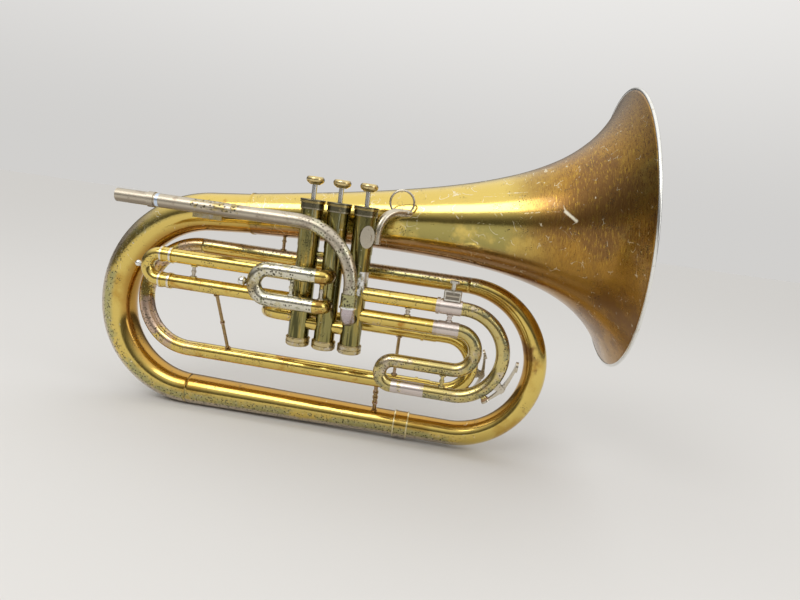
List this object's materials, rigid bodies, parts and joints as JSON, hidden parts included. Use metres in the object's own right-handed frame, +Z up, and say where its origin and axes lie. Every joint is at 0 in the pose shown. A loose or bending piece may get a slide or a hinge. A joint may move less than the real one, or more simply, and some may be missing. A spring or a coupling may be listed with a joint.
{
  "type": "marching baritone horn",
  "caption": "Marching baritone horn with a forward bell, piston valves, pull slides, water keys, a leadpipe with mouthpiece socket and a lyre holder",
  "frame": {"origin": "on the floor, under the middle of the horn's length and width, with the horn standing on its bottom bow", "axes": "+X out of the bell mouth, +Y to the player's left, +Z up along the valve stems"},
  "size_m": [0.539, 0.2666, 0.3828],
  "materials": {
    "lacquered_brass": "clear-lacquered yellow brass, worn and tarnished towards amber in places",
    "casing_brass": "unlacquered valve casing brass, rubbed smooth by the hands",
    "nickel_plate": "nickel-silver and nickel plate, dulled, pitted and spotted with tarnish",
    "piston_nickel": "fine-ground nickel alloy, oiled",
    "spring_steel": "plain drawn wire",
    "key_cork": null
  },
  "bodies": {
    "horn": {"bell": "lacquered_brass", "bell_tail_ferrule": "lacquered_brass", "left_bow": "lacquered_brass", "bottom_tube": "lacquered_brass", "bottom_ferrule": "lacquered_brass", "right_bow": "lacquered_brass", "upper_return_tube": "lacquered_brass", "inner_bow": "lacquered_brass", "lower_inner_tube": "lacquered_brass", "valve_exit_tube": "lacquered_brass", "tuning_brace": "lacquered_brass", "slide_1_legs": "lacquered_brass", "slide_1_brace": "lacquered_brass", "lower_brace": "lacquered_brass", "bell_return_brace": "lacquered_brass", "valve_bell_brace": "lacquered_brass", "slide_3_legs": "lacquered_brass", "leadpipe_bracket": "lacquered_brass", "leadpipe_elbow": "lacquered_brass", "slide_2_legs": "lacquered_brass", "valve_knuckle_1_2": "lacquered_brass", "valve_knuckle_2_3": "lacquered_brass", "casing_brace_1_2": "lacquered_brass", "casing_brace_2_3": "lacquered_brass", "hand_brace": "lacquered_brass", "valve_casing_1": "casing_brass", "valve_casing_2": "casing_brass", "valve_casing_3": "casing_brass", "bell_rim_wire": "nickel_plate", "leadpipe": "nickel_plate", "mouthpiece_receiver": "nickel_plate", "leadpipe_ferrule": "nickel_plate", "finger_ring": "nickel_plate", "top_cap_1": "nickel_plate", "top_cap_2": "nickel_plate", "top_cap_3": "nickel_plate", "bottom_cap_1": "nickel_plate", "bottom_cap_2": "nickel_plate", "bottom_cap_3": "nickel_plate"},
    "valve_1": {"piston_1": "piston_nickel", "finger_button_1": "nickel_plate", "valve_spring_1": "spring_steel"},
    "valve_2": {"piston_2": "piston_nickel", "finger_button_2": "nickel_plate", "valve_spring_2": "spring_steel"},
    "valve_3": {"piston_3": "piston_nickel", "finger_button_3": "nickel_plate", "valve_spring_3": "spring_steel"},
    "slide_1": {"slide_1_crook": "nickel_plate"},
    "slide_2": {"slide_2_crook": "nickel_plate"},
    "slide_3": {"slide_3_crook": "nickel_plate", "lyre_box": "nickel_plate", "water_key_1_saddle": "nickel_plate"},
    "tuning_slide": {"tuning_crook": "lacquered_brass", "water_key_2_saddle": "nickel_plate"},
    "water_key_1": {"water_key_1_lever": "nickel_plate", "water_key_1_cork": "key_cork"},
    "water_key_2": {"water_key_2_lever": "nickel_plate", "water_key_2_cork": "key_cork"},
    "lyre_screw_body": {"lyre_screw": "nickel_plate"}
  },
  "joints": [
    {"name": "valve_1_stroke", "type": "slide", "parent": "horn", "child": "valve_1", "axis": [0, 0, 1], "range_m": [-0.0125, 0], "stiffness_N_per_m": 80, "springref_m": 0.03, "deforming": ["valve_spring_1"]},
    {"name": "valve_2_stroke", "type": "slide", "parent": "horn", "child": "valve_2", "axis": [0, 0, 1], "range_m": [-0.0125, 0], "stiffness_N_per_m": 80, "springref_m": 0.03, "deforming": ["valve_spring_2"]},
    {"name": "valve_3_stroke", "type": "slide", "parent": "horn", "child": "valve_3", "axis": [0, 0, 1], "range_m": [-0.0125, 0], "stiffness_N_per_m": 80, "springref_m": 0.03, "deforming": ["valve_spring_3"]},
    {"name": "slide_1_pull", "type": "slide", "parent": "horn", "child": "slide_1", "axis": [-1, 0, 0], "range_m": [0, 0.08]},
    {"name": "slide_2_pull", "type": "slide", "parent": "horn", "child": "slide_2", "axis": [-1, 0, 0], "range_m": [0, 0.03]},
    {"name": "slide_3_pull", "type": "slide", "parent": "horn", "child": "slide_3", "axis": [1, 0, 0], "range_m": [0, 0.04]},
    {"name": "tuning_slide_pull", "type": "slide", "parent": "horn", "child": "tuning_slide", "axis": [1, 0, 0], "range_m": [0, 0.04]},
    {"name": "water_key_1_hinge", "type": "hinge", "parent": "slide_3", "child": "water_key_1", "pos_m": [0.1659, -0.058, 0.08847], "axis": [0, 1, 0], "range_deg": [-10, 0], "stiffness_Nm_per_rad": 0.05, "springref_deg": 20.05},
    {"name": "water_key_2_hinge", "type": "hinge", "parent": "tuning_slide", "child": "water_key_2", "pos_m": [0.14817, -0.018, 0.08911], "axis": [0, 1, 0], "range_deg": [-10, 0], "stiffness_Nm_per_rad": 0.05, "springref_deg": 20.05},
    {"name": "lyre_screw_turn", "type": "hinge", "parent": "slide_3", "child": "lyre_screw_body", "pos_m": [0.1076, -0.058, 0.175], "axis": [0, 0, 1], "range_deg": [-180, 180]}
  ]
}
